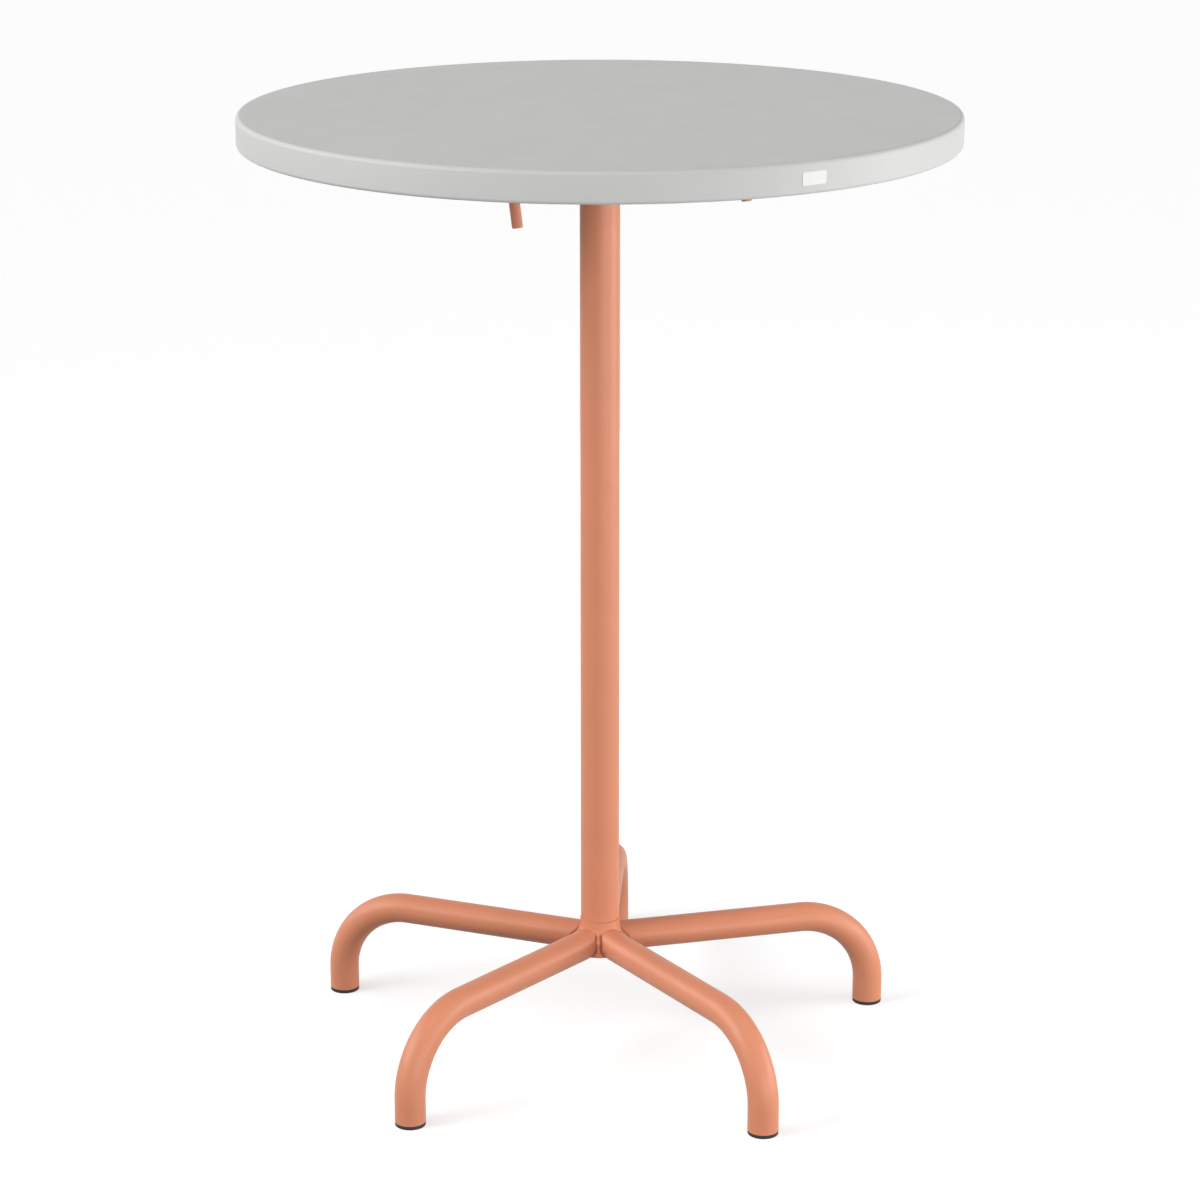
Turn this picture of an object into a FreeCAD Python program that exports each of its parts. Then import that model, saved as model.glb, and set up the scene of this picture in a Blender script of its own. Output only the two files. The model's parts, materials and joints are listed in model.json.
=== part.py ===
"""Folding bar table: a round moulded top that tilts on a column with five bent tube legs.

Millimetres. The origin is on the floor under the column, +Z is up, the user's side is -Y, and X is
the direction of the pivot. The table is a mirror image of itself left and right.
"""
import FreeCAD
import Part
import Sketcher
import os
from math import cos, radians, sin, tan
from types import SimpleNamespace

NUMBERS = {
    # Whole table
    "table_height": 1100,
    "top_diameter": 800,
    # Moulded top
    "panel_thickness": 6,
    "rim_height": 34,
    "rim_wall": 5,
    "rim_edge_radius": 5,
    "rim_lip_radius": 4,
    "rim_inner_lip_radius": 0.6,
    "rim_root_radius": 9,
    "pad_diameter": 280,
    "pad_drop": 6,
    "pad_slope": 5,
    "insert_diameter": 9,
    "insert_length": 8,
    # Mounting plate under the top
    "plate_length": 200,
    "plate_width": 160,
    "plate_thickness": 4,
    "plate_corner_radius": 14,
    "screw_spacing_long": 170,
    "screw_spacing_wide": 130,
    "screw_diameter": 6,
    "screw_head_diameter": 12,
    "screw_head_height": 3.6,
    "screw_reach": 7,
    "screw_hole_play": 0.6,
    # Tilting cheeks, pivot and rods
    "cheek_spacing": 96,
    "cheek_thickness": 4,
    "cheek_lobe": 14,
    "cheek_waist": 26,
    "cheek_waist_slope": 14,
    "cheek_shoulder": 5,
    "cheek_front": 74,
    "cheek_rear": 68,
    "cheek_corner_radius": 11,
    "pivot_offset": 45,
    "pivot_drop": 34,
    "pivot_diameter": 12,
    "pivot_head_width": 19,
    "pivot_head_height": 7.5,
    "pivot_nut_height": 10,
    "pivot_thread_end": 3,
    "pivot_end_chamfer": 1,
    "hex_chamfer": 1.1,
    "pivot_washer_diameter": 24,
    "pivot_washer_thickness": 2,
    "strike_diameter": 12,
    "stop_thickness": 3,
    "stop_above_pivot": 10,
    "stop_behind_pivot": 17,
    # Column head
    "head_thickness": 5,
    "head_below_pivot": 17,
    "head_front": 54,
    "head_corner_radius": 6,
    "ear_thickness": 5,
    "ear_lobe": 14,
    "ear_front_height": 7,
    "ear_lobe_radius": 9,
    "ear_heel_inset": 1,
    "bush_wall": 2,
    "bush_flange_diameter": 24,
    "bush_flange_thickness": 1.8,
    "spacer_wall": 4,
    "rest_pad_length": 18,
    "rest_pad_wall": 1.5,
    "rest_pad_skirt": 5,
    "rest_pad_edge_radius": 1.2,
    # Spring catch
    "catch_width": 28,
    "catch_thickness": 1.5,
    "catch_foot": 39,
    "catch_stand_off": 12,
    "catch_hook_drop": 2.4,
    "catch_hook_rise": 5.2,
    "catch_hook_reach": 3.6,
    "catch_lead_run": 9.8,
    "catch_lead_rise": 12,
    "catch_bend_radius": 3,
    "catch_nose_radius": 1.2,
    "catch_screw_diameter": 5,
    "catch_screw_head_diameter": 9,
    "catch_screw_head_height": 3,
    "catch_screw_spacing": 14,
    "catch_screw_behind": 21,
    # Release bar with its two finger levers
    "bar_diameter": 12,
    "bar_drop": 10,
    "bar_forward": 51.4,
    "lever_spacing": 300,
    "lever_length": 82.2,
    "lever_tilt": 13.2,
    "bar_bend_radius": 20,
    "bar_chamfer": 1,
    "bar_bush_flange_diameter": 19,
    "bar_bush_flange_thickness": 2,
    "clip_diameter": 18.5,
    "clip_thickness": 1.5,
    "cam_width": 24,
    "cam_tip": 15.9,
    "cam_tip_width": 6,
    "cam_stand_off": 1.8,
    "cam_back": 9,
    "cam_back_drop": 3,
    "cam_heel_reach": 11,
    "cam_front": 8,
    "cam_front_rise": 5.2,
    # Column and base
    "column_diameter": 45,
    "column_wall": 2,
    "column_foot_height": 145,
    "hub_diameter": 72,
    "hub_bottom_height": 106,
    "hub_shoulder_rise": 6,
    "hub_shoulder_height": 10,
    "hub_shoulder_radius": 4,
    "hub_neck_diameter": 46.5,
    "hub_spigot_length": 40,
    "hub_recess_diameter": 46,
    "hub_recess_depth": 20,
    "leg_count": 5,
    "leg_diameter": 35,
    "leg_wall": 2,
    "leg_axis_height": 118,
    "leg_bend_radius": 87.5,
    "foot_circle_diameter": 672,
    "glide_height": 4.5,
    "glide_inset": 0.2,
    "glide_plug_length": 20,
    "glide_plug_wall": 3,
    "glide_edge_radius": 0.8,
    # Clearances
    "running_gap": 0.05,
    "seat_gap": 0.3,
    "loose_gap": 0.2,
}

QUARTER_TURN = 90
HALF_HEX_RATIO = 3 ** -0.5


class Size:
    """A number and the sheet expression that gives it."""

    def __init__(self, value, text):
        self.value = value
        self.text = text

    def __add__(self, other):
        return Size(self.value + number(other), f"({self.text} + {wording(other)})")

    def __sub__(self, other):
        return Size(self.value - number(other), f"({self.text} - {wording(other)})")

    def __mul__(self, other):
        return Size(self.value * number(other), f"({self.text} * {wording(other)})")

    def __truediv__(self, other):
        return Size(self.value / number(other), f"({self.text} / {wording(other)})")

    def __neg__(self):
        return Size(-self.value, f"(-1 * {self.text})")


def number(size):
    return size.value if isinstance(size, Size) else size


def wording(size):
    return size.text if isinstance(size, Size) else repr(size)


document = FreeCAD.newDocument("FoldingBarTable")
sheet = document.addObject("Spreadsheet::Sheet", "Sizes")
for row, (alias, value) in enumerate(NUMBERS.items(), start=1):
    sheet.set(f"A{row}", alias)
    sheet.set(f"B{row}", str(value))
    sheet.setAlias(f"B{row}", alias)
document.recompute()
size = SimpleNamespace(**{alias: Size(float(sheet.get(alias)), f"Sizes.{alias}") for alias in NUMBERS})
nodes = []


def bind(item, property_name, value):
    """Tie a property to the sheet."""
    item.setExpression(property_name, wording(value))


def place(item, x=0, y=0, z=0, axis=None, angle=0):
    """Turn an object about its own origin, and tie its place to the sheet."""
    if axis is not None:
        item.Placement = FreeCAD.Placement(FreeCAD.Vector(), FreeCAD.Rotation(FreeCAD.Vector(*axis), angle))
    for letter, value in zip("xyz", (x, y, z)):
        if isinstance(value, Size):
            bind(item, f"Placement.Base.{letter}", value)
    return item


def node(item, name):
    """Keep an object as one named piece of the table."""
    item.Label = name
    nodes.append(item)
    return item


def new_body(name):
    return document.addObject("PartDesign::Body", f"{name}_body")


def new_sketch(body, name, plane, offset=None):
    """Start a sketch on one of the body's own origin planes, or parallel to it."""
    sketch = body.newObject("Sketcher::SketchObject", f"{body.Name}_{name}")
    support = next(item for item in body.Origin.OriginFeatures if item.Role == plane)
    sketch.AttachmentSupport = [(support, "")]
    sketch.MapMode = "FlatFace"
    if offset is not None:
        bind(sketch, "AttachmentOffset.Base.z", offset)
    return sketch


def pin(sketch, geometry, end, x, y):
    """Fix a sketch point by its two coordinates."""
    for kind, axis, value in (("DistanceX", -2, x), ("DistanceY", -1, y)):
        if abs(number(value)) < 1e-9:
            sketch.addConstraint(Sketcher.Constraint("PointOnObject", geometry, end, axis))
            continue
        index = sketch.addConstraint(Sketcher.Constraint(kind, -1, 1, geometry, end, number(value)))
        if isinstance(value, Size):
            bind(sketch, f"Constraints[{index}]", value)


def flat(point):
    return FreeCAD.Vector(number(point[0]), number(point[1]), 0)


def draw_outline(sketch, points):
    """Draw a closed outline through the points."""
    following = points[1:] + points[:1]
    first = len(sketch.Geometry)
    for start, end in zip(points, following):
        sketch.addGeometry(Part.LineSegment(flat(start), flat(end)))
    for index, point in enumerate(points):
        after = first + (index + 1) % len(points)
        sketch.addConstraint(Sketcher.Constraint("Coincident", first + index, 2, after, 1))
        pin(sketch, first + index, 1, *point)


def draw_circle(sketch, x, y, radius):
    index = sketch.addGeometry(Part.Circle(flat((x, y)), FreeCAD.Vector(0, 0, 1), number(radius)))
    pin(sketch, index, 3, x, y)
    limit = sketch.addConstraint(Sketcher.Constraint("Radius", index, number(radius)))
    bind(sketch, f"Constraints[{limit}]", radius)


def draw_line(sketch, start, end):
    index = sketch.addGeometry(Part.LineSegment(flat(start), flat(end)))
    pin(sketch, index, 1, *start)
    pin(sketch, index, 2, *end)
    return index


def draw_bend(sketch, centre, radius, first_angle, last_angle, start_line, start_end, end_line, end_end):
    """Draw a quarter bend between two lines that are drawn already."""
    circle = Part.Circle(flat(centre), FreeCAD.Vector(0, 0, 1), number(radius))
    index = sketch.addGeometry(Part.ArcOfCircle(circle, radians(first_angle), radians(last_angle)))
    sketch.addConstraint(Sketcher.Constraint("Coincident", index, 1, start_line, start_end))
    sketch.addConstraint(Sketcher.Constraint("Coincident", index, 2, end_line, end_end))
    limit = sketch.addConstraint(Sketcher.Constraint("Radius", index, number(radius)))
    bind(sketch, f"Constraints[{limit}]", radius)
    return index


def pad(body, sketch, length):
    feature = body.newObject("PartDesign::Pad", f"{body.Name}_pad")
    feature.Profile = sketch
    bind(feature, "Length", length)
    return feature


def revolve(body, sketch):
    feature = body.newObject("PartDesign::Revolution", f"{body.Name}_revolution")
    feature.Profile = sketch
    feature.ReferenceAxis = (sketch, ["V_Axis"])
    feature.Angle = 360
    return feature


def pocket(body, sketch, length, upwards):
    """Cut a sketch into the body, and make sure that it does cut."""
    document.recompute()
    volume = body.Shape.Volume
    feature = body.newObject("PartDesign::Pocket", f"{body.Name}_pocket")
    feature.Profile = sketch
    feature.Reversed = upwards
    bind(feature, "Length", length)
    document.recompute()
    if body.Shape.Volume >= volume:
        raise ValueError(f"{body.Name}: the pocket cuts nothing")
    return feature


def sweep(body, profile, spine, route):
    """Run a section along the sketch pieces of a spine, which are given in their order."""
    feature = body.newObject("PartDesign::AdditivePipe", f"{body.Name}_pipe")
    feature.Profile = profile
    feature.Spine = (spine, [f"Edge{index + 1}" for index in route])
    return feature


def dress(body, kind, feature, picked, property_name, value):
    """Round or bevel the edges of a feature that the test picks."""
    document.recompute()
    names = [f"Edge{index}" for index, edge in enumerate(feature.Shape.Edges, start=1) if picked(edge)]
    if not names:
        raise ValueError(f"{body.Name}: no edge to {kind.lower()}")
    result = body.newObject(f"PartDesign::{kind}", f"{body.Name}_{kind.lower()}_{len(body.Group)}")
    result.Base = (feature, names)
    bind(result, property_name, value)
    return result


def ring_at(*places):
    """Test for circular edges about Z with the given radius and height."""
    def picked(edge):
        if not isinstance(edge.Curve, Part.Circle):
            return False
        found = (edge.Curve.Radius, edge.Curve.Center.z)
        return any(max(abs(found[0] - number(r)), abs(found[1] - number(z))) < 1e-4 for r, z in places)
    return picked


def corner_at(normal, places):
    """Test for straight edges along the normal (an axis letter) through the given sketch points."""
    others = [letter for letter in "xyz" if letter != normal]

    def picked(edge):
        if not isinstance(edge.Curve, Part.Line):
            return False
        ends = [vertex.Point for vertex in edge.Vertexes]
        for point in places:
            wanted = dict(zip(others, map(number, point)))
            if all(abs(getattr(end, letter) - wanted[letter]) < 1e-4 for end in ends for letter in others):
                return True
        return False
    return picked


def turned(name, points):
    """A turned piece about its own Z axis, from its half outline."""
    body = new_body(name)
    sketch = new_sketch(body, "outline", "XZ_Plane")
    draw_outline(sketch, points)
    return body, revolve(body, sketch)


def cylinder(name, radius, height):
    item = document.addObject("Part::Cylinder", name)
    bind(item, "Radius", radius)
    bind(item, "Height", height)
    return item


def box(name, length, width, height, x, y, z):
    item = document.addObject("Part::Box", name)
    for property_name, value in (("Length", length), ("Width", width), ("Height", height)):
        bind(item, property_name, value)
    return place(item, x, y, z)


def hexagon(name, across_flats, height):
    """A hexagonal head about its own Z axis, with its corners bevelled at the upper end."""
    prism = document.addObject("Part::Prism", f"{name}_prism")
    prism.Polygon = 6
    corner = across_flats * HALF_HEX_RATIO
    bind(prism, "Circumradius", corner)
    bind(prism, "Height", height)
    clear = corner + size.loose_gap
    blank, _ = turned(f"{name}_blank", [
        (0, 0), (clear, 0), (clear, height - size.hex_chamfer), (across_flats / 2, height), (0, height),
    ])
    item = document.addObject("Part::Common", name)
    item.Base = prism
    item.Tool = blank
    return item


def cut(name, base, tool):
    item = document.addObject("Part::Cut", name)
    item.Base = base
    item.Tool = tool
    return item


def fuse(name, base, tool):
    item = document.addObject("Part::Fuse", name)
    item.Base = base
    item.Tool = tool
    return item


def group(name, items):
    item = document.addObject("Part::Compound", f"{name}_group")
    item.Links = items
    return node(item, name)


# Heights and places that several pieces share
panel_under = size.table_height - size.panel_thickness
pad_under = panel_under - size.pad_drop
plate_under = pad_under - size.plate_thickness
pivot_height = plate_under - size.pivot_drop
bar_height = plate_under - size.bar_drop
bar_place = -size.bar_forward
strike_place = -size.pivot_offset
head_top = pivot_height - size.head_below_pivot
head_under = head_top - size.head_thickness
head_rear = size.pivot_offset + size.stop_above_pivot - size.seat_gap
ear_front = size.head_corner_radius - size.head_front
cheek_inner = size.cheek_spacing / 2
cheek_outer = cheek_inner + size.cheek_thickness
ear_outer = cheek_inner - size.bush_flange_thickness - size.loose_gap
ear_inner = ear_outer - size.ear_thickness
bush_radius = size.pivot_diameter / 2 + size.bush_wall
bar_bush_radius = size.bar_diameter / 2 + size.bush_wall
column_bore = size.column_diameter / 2 - size.column_wall
hub_radius = size.hub_diameter / 2
hub_neck = size.hub_neck_diameter / 2
hub_shoulder = size.leg_axis_height + size.hub_shoulder_rise
hub_neck_foot = hub_shoulder + size.hub_shoulder_height
leg_radius = size.leg_diameter / 2
foot_circle_radius = size.foot_circle_diameter / 2
screw_places = [
    (size.screw_spacing_long / 2 * side, size.screw_spacing_wide / 2 * row)
    for side in (-1, 1) for row in (-1, 0, 1)
]
SIDES = (("left", -1), ("right", 1))


def side_start(side, inner, outer):
    """Where a plate between two distances from the middle starts, seen along +X."""
    return inner if side > 0 else -outer


def make_table_top():
    body = new_body("table_top")
    radius = size.top_diameter / 2
    rim_under = size.table_height - size.rim_height
    inner = radius - size.rim_wall
    pad_radius = size.pad_diameter / 2
    sketch = new_sketch(body, "outline", "XZ_Plane")
    draw_outline(sketch, [
        (0, size.table_height),
        (radius, size.table_height),
        (radius, rim_under),
        (inner, rim_under),
        (inner, panel_under),
        (pad_radius + size.pad_slope, panel_under),
        (pad_radius, pad_under),
        (0, pad_under),
    ])
    shell = revolve(body, sketch)
    edge = ring_at((radius, size.table_height))
    shell = dress(body, "Fillet", shell, edge, "Radius", size.rim_edge_radius)
    lip = ring_at((radius, rim_under))
    shell = dress(body, "Fillet", shell, lip, "Radius", size.rim_lip_radius)
    inner_lip = ring_at((inner, rim_under))
    shell = dress(body, "Fillet", shell, inner_lip, "Radius", size.rim_inner_lip_radius)
    root = ring_at((inner, panel_under))
    dress(body, "Fillet", shell, root, "Radius", size.rim_root_radius)
    holes = new_sketch(body, "insert_holes", "XY_Plane", pad_under)
    for x, y in screw_places:
        draw_circle(holes, x, y, size.insert_diameter / 2)
    pocket(body, holes, size.insert_length, upwards=True)
    node(body, "table_top")


def make_thread_inserts():
    items = []
    inner = size.screw_diameter / 2 + size.running_gap
    outer = size.insert_diameter / 2 - size.running_gap
    for index, (x, y) in enumerate(screw_places):
        body, _ = turned(f"insert_{index}", [
            (inner, 0), (outer, 0), (outer, size.insert_length), (inner, size.insert_length),
        ])
        items.append(place(body, x, y, pad_under))
    group("thread_inserts", items)


def make_mounting_plate():
    body = new_body("mounting_plate")
    half_length = size.plate_length / 2
    half_width = size.plate_width / 2
    corners = [
        (-half_length, -half_width), (half_length, -half_width),
        (half_length, half_width), (-half_length, half_width),
    ]
    sketch = new_sketch(body, "outline", "XY_Plane", plate_under)
    draw_outline(sketch, corners)
    for x, y in screw_places:
        draw_circle(sketch, x, y, (size.screw_diameter + size.screw_hole_play) / 2)
    plate = pad(body, sketch, size.plate_thickness)
    dress(body, "Fillet", plate, corner_at("z", corners), "Radius", size.plate_corner_radius)
    node(body, "mounting_plate")


def screw(name, shank, head, head_height, length):
    """A pan head screw, head down at its origin and shank up."""
    body, feature = turned(name, [
        (0, -head_height), (head, -head_height), (head, 0), (shank, 0), (shank, length), (0, length),
    ])
    dress(body, "Fillet", feature, ring_at((head, -head_height)), "Radius", head_height / 2)
    return body


def make_mounting_screws():
    shank = size.screw_diameter / 2
    length = size.plate_thickness + size.screw_reach
    head = size.screw_head_diameter / 2
    items = []
    for index, (x, y) in enumerate(screw_places):
        body = screw(f"mounting_screw_{index}", shank, head, size.screw_head_height, length)
        items.append(place(body, x, y, plate_under))
    group("mounting_screws", items)


def make_cheek(name, side):
    """A side plate of the tilting bracket, welded under the mounting plate."""
    body = new_body(f"cheek_{name}")
    low = pivot_height - size.cheek_lobe
    waist = plate_under - size.cheek_waist
    pivot = size.pivot_offset
    lobe = size.cheek_lobe
    rear = [(pivot + lobe, low), (pivot - lobe, low)]
    front = [(strike_place + lobe, low), (strike_place - lobe, low)]
    slope = lobe + size.cheek_waist_slope
    waists = [(pivot - slope, waist), (strike_place + slope, waist)]
    shoulder = pivot_height + size.cheek_shoulder
    sketch = new_sketch(body, "outline", "YZ_Plane", side_start(side, cheek_inner, cheek_outer))
    draw_outline(sketch, [
        (-size.cheek_front, plate_under), (size.cheek_rear, plate_under), (size.cheek_rear, shoulder),
        *rear, *waists, *front,
    ])
    draw_circle(sketch, pivot, pivot_height, size.pivot_diameter / 2 + size.running_gap)
    draw_circle(sketch, bar_place, bar_height, bar_bush_radius + size.running_gap)
    plate = pad(body, sketch, size.cheek_thickness)
    corners = corner_at("x", rear + waists + front)
    dress(body, "Fillet", plate, corners, "Radius", size.cheek_corner_radius)
    node(body, f"cheek_{name}")


def make_fold_stop():
    """The cross plate that meets the column head's rear edge when the top is upright."""
    low = pivot_height + size.stop_above_pivot
    item = box(
        "fold_stop", size.cheek_spacing, size.stop_thickness, plate_under - low,
        -cheek_inner, size.pivot_offset + size.stop_behind_pivot, low,
    )
    node(item, "fold_stop")


def make_strike_rod():
    item = cylinder("strike_rod", size.strike_diameter / 2, size.cheek_spacing)
    place(item, -cheek_inner, strike_place, pivot_height, axis=(0, 1, 0), angle=QUARTER_TURN)
    node(item, "strike_rod")


def make_pivot():
    """The pivot bolt through both cheeks, with its washers and lock nut."""
    radius = size.pivot_diameter / 2
    washer_radius = size.pivot_washer_diameter / 2
    seat = cheek_outer + size.pivot_washer_thickness
    reach = seat + size.pivot_nut_height + size.pivot_thread_end
    length = seat + reach
    chamfer = size.pivot_end_chamfer
    head = hexagon("pivot_head", size.pivot_head_width, size.pivot_head_height)
    place(head, -seat, size.pivot_offset, pivot_height, (0, 1, 0), -QUARTER_TURN)
    shank, _ = turned("pivot_shank", [
        (0, 0), (radius, 0), (radius, length - chamfer), (radius - chamfer, length), (0, length),
    ])
    place(shank, -seat, size.pivot_offset, pivot_height, (0, 1, 0), QUARTER_TURN)
    node(fuse("pivot_bolt_fuse", head, shank), "pivot_bolt")
    blank = hexagon("nut_blank", size.pivot_head_width, size.pivot_nut_height)
    place(blank, seat, size.pivot_offset, pivot_height, (0, 1, 0), QUARTER_TURN)
    bore = cylinder("nut_bore", radius + size.running_gap, size.pivot_nut_height)
    place(bore, seat, size.pivot_offset, pivot_height, (0, 1, 0), QUARTER_TURN)
    node(cut("pivot_nut_cut", blank, bore), "pivot_nut")
    washers = []
    for name, side in SIDES:
        body, _ = turned(f"washer_{name}", [
            (radius + size.running_gap, 0), (washer_radius, 0),
            (washer_radius, size.pivot_washer_thickness),
            (radius + size.running_gap, size.pivot_washer_thickness),
        ])
        start = side_start(side, cheek_outer, seat)
        washers.append(place(body, start, size.pivot_offset, pivot_height, (0, 1, 0), QUARTER_TURN))
    group("pivot_washers", washers)


def flanged_bush(name, bore, outer, length, flange, flange_thickness):
    """A plain bearing bush along its own Z axis, with its flange above its sleeve."""
    body, _ = turned(name, [
        (bore, -length), (outer, -length), (outer, 0),
        (flange, 0), (flange, flange_thickness), (bore, flange_thickness),
    ])
    return body


def make_bushes(name, side):
    """The pivot bush in the column head's ear, and the release bar's bush in the cheek."""
    body = flanged_bush(
        f"pivot_bush_{name}", size.pivot_diameter / 2 + size.running_gap, bush_radius,
        size.ear_thickness, size.bush_flange_diameter / 2, size.bush_flange_thickness,
    )
    place(body, ear_outer * side, size.pivot_offset, pivot_height, (0, 1, 0), QUARTER_TURN * side)
    node(body, f"pivot_bush_{name}")
    body = flanged_bush(
        f"bar_bush_{name}", size.bar_diameter / 2 + size.running_gap, bar_bush_radius,
        size.cheek_thickness, size.bar_bush_flange_diameter / 2, size.bar_bush_flange_thickness,
    )
    place(body, cheek_outer * side, bar_place, bar_height, (0, 1, 0), QUARTER_TURN * side)
    node(body, f"bar_bush_{name}")


def make_pivot_spacer():
    """The tube that keeps the two ears apart on the pivot bolt."""
    bore = size.pivot_diameter / 2 + size.loose_gap
    outer = bore + size.spacer_wall
    length = ear_inner * 2
    body, _ = turned("pivot_spacer", [(bore, 0), (outer, 0), (outer, length), (bore, length)])
    place(body, -ear_inner, size.pivot_offset, pivot_height, (0, 1, 0), QUARTER_TURN)
    node(body, "pivot_spacer")


def make_head_plate():
    body = new_body("head_plate")
    front = -size.head_front
    corners = [(-ear_outer, front), (ear_outer, front), (ear_outer, head_rear), (-ear_outer, head_rear)]
    sketch = new_sketch(body, "outline", "XY_Plane", head_under)
    draw_outline(sketch, corners)
    for x, y in catch_screw_places():
        draw_circle(sketch, x, y, size.catch_screw_diameter / 2 + size.running_gap)
    plate = pad(body, sketch, size.head_thickness)
    fronts = corner_at("z", corners[:2])
    dress(body, "Fillet", plate, fronts, "Radius", size.head_corner_radius)
    node(body, "head_plate")


def make_head_ear(name, side):
    """An upright plate on the column head, with the pivot behind and the rest in front."""
    body = new_body(f"head_ear_{name}")
    pivot = size.pivot_offset
    lobe = size.ear_lobe
    front_top = head_top + size.ear_front_height
    crown = [(pivot + lobe, pivot_height + lobe), (pivot - lobe, pivot_height + lobe)]
    heel = head_rear - size.ear_heel_inset
    neck = (pivot - lobe - lobe, front_top)
    sketch = new_sketch(body, "outline", "YZ_Plane", side_start(side, ear_inner, ear_outer))
    draw_outline(sketch, [
        (ear_front, head_top), (heel, head_top), (pivot + lobe, pivot_height), *crown, neck,
        (ear_front, front_top),
    ])
    draw_circle(sketch, pivot, pivot_height, bush_radius + size.running_gap)
    plate = pad(body, sketch, size.ear_thickness)
    plate = dress(body, "Fillet", plate, corner_at("x", crown), "Radius", size.ear_lobe_radius)
    dress(body, "Fillet", plate, corner_at("x", [neck]), "Radius", size.ear_lobe_radius)
    node(body, f"head_ear_{name}")


def make_rest_pad(name, side):
    """A cap over an ear's front edge that the strike rod comes down on."""
    body = new_body(f"rest_pad_{name}")
    top = pivot_height - size.strike_diameter / 2 - size.seat_gap
    edge = head_top + size.ear_front_height
    low = edge - size.rest_pad_skirt
    left = side_start(side, ear_inner, ear_outer)
    right = left + size.ear_thickness
    shoulders = [(right + size.rest_pad_wall, top), (left - size.rest_pad_wall, top)]
    sketch = new_sketch(body, "section", "XZ_Plane", -ear_front - size.rest_pad_length)
    draw_outline(sketch, [
        (left, edge), (left, low), (left - size.rest_pad_wall, low), *reversed(shoulders),
        (right + size.rest_pad_wall, low), (right, low), (right, edge),
    ])
    cap = pad(body, sketch, size.rest_pad_length)
    dress(body, "Fillet", cap, corner_at("y", shoulders), "Radius", size.rest_pad_edge_radius)
    node(body, f"rest_pad_{name}")


def catch_screw_places():
    y = size.catch_screw_behind - size.head_front
    return [(size.catch_screw_spacing / 2 * side, y) for _, side in SIDES]


def bent_strip(points, inner_radii, thickness):
    """The side face of a strip that follows the points at mid thickness, with round bends."""
    vectors = [FreeCAD.Vector(0, y, z) for y, z in points]
    runs = [(after - before).normalize() for before, after in zip(vectors, vectors[1:])]
    sides = []
    for hand in (-1, 1):
        edges = []
        normals = [FreeCAD.Vector(0, -run.z, run.y) * (hand * thickness / 2) for run in runs]
        start = vectors[0] + normals[0]
        for index, radius in enumerate(inner_radii):
            before, after = runs[index], runs[index + 1]
            turn = before.getAngle(after)
            inside = before.cross(after).x * hand > 0
            middle_radius = radius + thickness / 2
            setback = middle_radius * tan(turn / 2)
            corner = vectors[index + 1]
            first = corner - before * setback + normals[index]
            last = corner + after * setback + normals[index + 1]
            bisector = (after - before).normalize()
            centre = corner + bisector * (middle_radius / cos(turn / 2))
            own_radius = middle_radius - thickness / 2 if inside else middle_radius + thickness / 2
            middle = centre - bisector * own_radius
            edges.append(Part.LineSegment(start, first).toShape())
            edges.append(Part.Arc(first, middle, last).toShape())
            start = last
        end = vectors[-1] + normals[-1]
        edges.append(Part.LineSegment(start, end).toShape())
        sides.append(edges)
    caps = []
    for pick in (0, -1):
        low, high = sides[0][pick].Vertexes[pick].Point, sides[1][pick].Vertexes[pick].Point
        caps.append(Part.LineSegment(low, high).toShape())
    return Part.Face(Part.Wire(Part.__sortEdges__(sides[0] + sides[1] + caps)))


def make_spring_catch():
    """The leaf spring whose nose hooks over the strike rod."""
    half = size.catch_thickness / 2
    foot = head_top + half
    upright = strike_place - size.catch_stand_off
    nose = strike_place - size.catch_hook_reach
    nose_height = pivot_height + size.catch_hook_rise
    points = [
        (upright + size.catch_foot, foot),
        (upright, foot),
        (upright, nose_height - size.catch_hook_drop),
        (nose, nose_height),
        (nose - size.catch_lead_run, nose_height + size.catch_lead_rise),
    ]
    bend = size.catch_bend_radius.value
    nose_bend = size.catch_nose_radius.value
    plain = [(number(y), number(z)) for y, z in points]
    face = bent_strip(plain, [bend, nose_bend, nose_bend], size.catch_thickness.value)
    width = size.catch_width.value
    strip = face.extrude(FreeCAD.Vector(width, 0, 0))
    for x, y in catch_screw_places():
        start = FreeCAD.Vector(number(x) + width / 2, number(y), head_top.value)
        hole = size.catch_screw_diameter.value / 2 + size.running_gap.value
        strip = strip.cut(Part.makeCylinder(hole, size.catch_thickness.value, start))
    item = document.addObject("Part::Feature", "spring_catch_strip")
    item.Shape = strip
    item.Placement = FreeCAD.Placement(FreeCAD.Vector(-width / 2, 0, 0), FreeCAD.Rotation())
    node(item, "spring_catch")


def make_catch_screws():
    items = []
    length = size.catch_thickness + size.head_thickness
    seat = head_top + size.catch_thickness
    for index, (x, y) in enumerate(catch_screw_places()):
        body = screw(
            f"catch_screw_{index}", size.catch_screw_diameter / 2, size.catch_screw_head_diameter / 2,
            size.catch_screw_head_height, length,
        )
        items.append(place(body, x, y, seat, axis=(1, 0, 0), angle=QUARTER_TURN * 2))
    group("catch_screws", items)


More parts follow.
